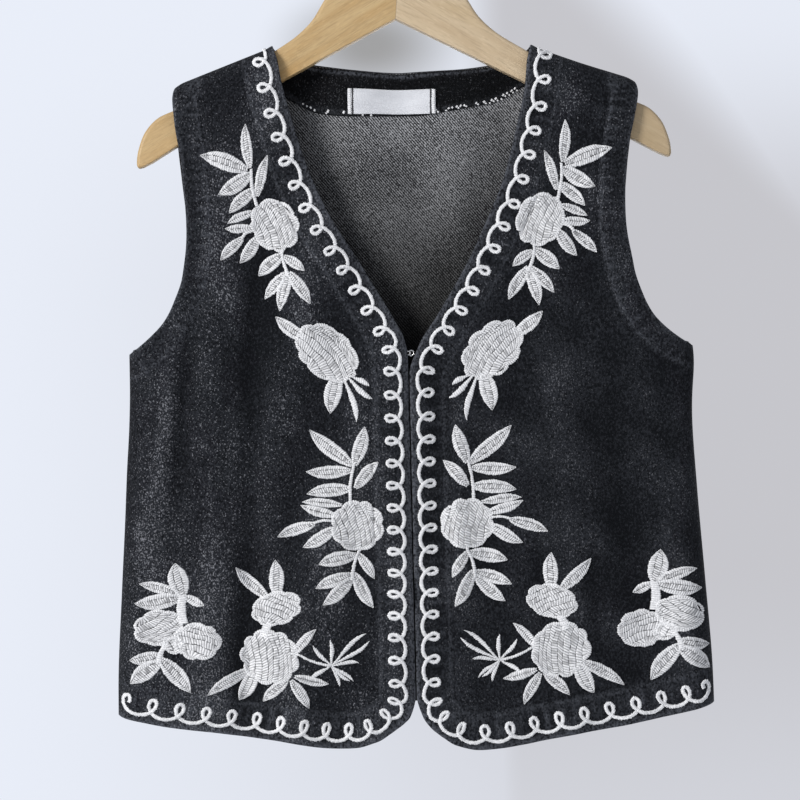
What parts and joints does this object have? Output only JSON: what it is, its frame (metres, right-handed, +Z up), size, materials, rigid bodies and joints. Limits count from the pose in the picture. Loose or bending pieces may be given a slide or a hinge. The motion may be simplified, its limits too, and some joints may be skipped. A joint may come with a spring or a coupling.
{
  "type": "denim vest on a wooden hanger",
  "caption": "Child's V-neck denim vest with raised white leaf and flower sprigs, hanging open at neck, armholes and hem on a flat wooden hanger with a wire hook.",
  "frame": {"origin": "underside of the hook's crook, where a rail would bear", "axes": "+Z up, the fronts face -Y, +X to the right of someone who looks at the fronts"},
  "size_m": [0.3684, 0.0374, 0.5599],
  "materials": {
    "denim": "matte black denim, 2/1 twill with pale slubs",
    "facing_denim": "matte black denim, right side out",
    "label_satin": "woven satin, blank",
    "embroidery_thread": "lustrous white satin stitch",
    "hanger_wood": "satin clear varnish on light beech",
    "hook_steel": "bright steel wire"
  },
  "bodies": {
    "root": {"back": "denim", "back_neck_facing": "facing_denim", "fastening_eye": "hook_steel", "fastening_hook": "hook_steel", "front_left": "denim", "front_right": "denim", "hanger_arm_left": "hanger_wood", "hanger_arm_right": "hanger_wood", "hanger_hook": "hook_steel", "neck_label": "label_satin", "sprig_chest_left": "embroidery_thread", "sprig_chest_right": "embroidery_thread", "sprig_hem_left": "embroidery_thread", "sprig_hem_right": "embroidery_thread", "sprig_side_left": "embroidery_thread", "sprig_side_right": "embroidery_thread", "sprig_waist_left": "embroidery_thread", "sprig_waist_right": "embroidery_thread", "sprig_yoke_left": "embroidery_thread", "sprig_yoke_right": "embroidery_thread"}
  },
  "joints": []
}
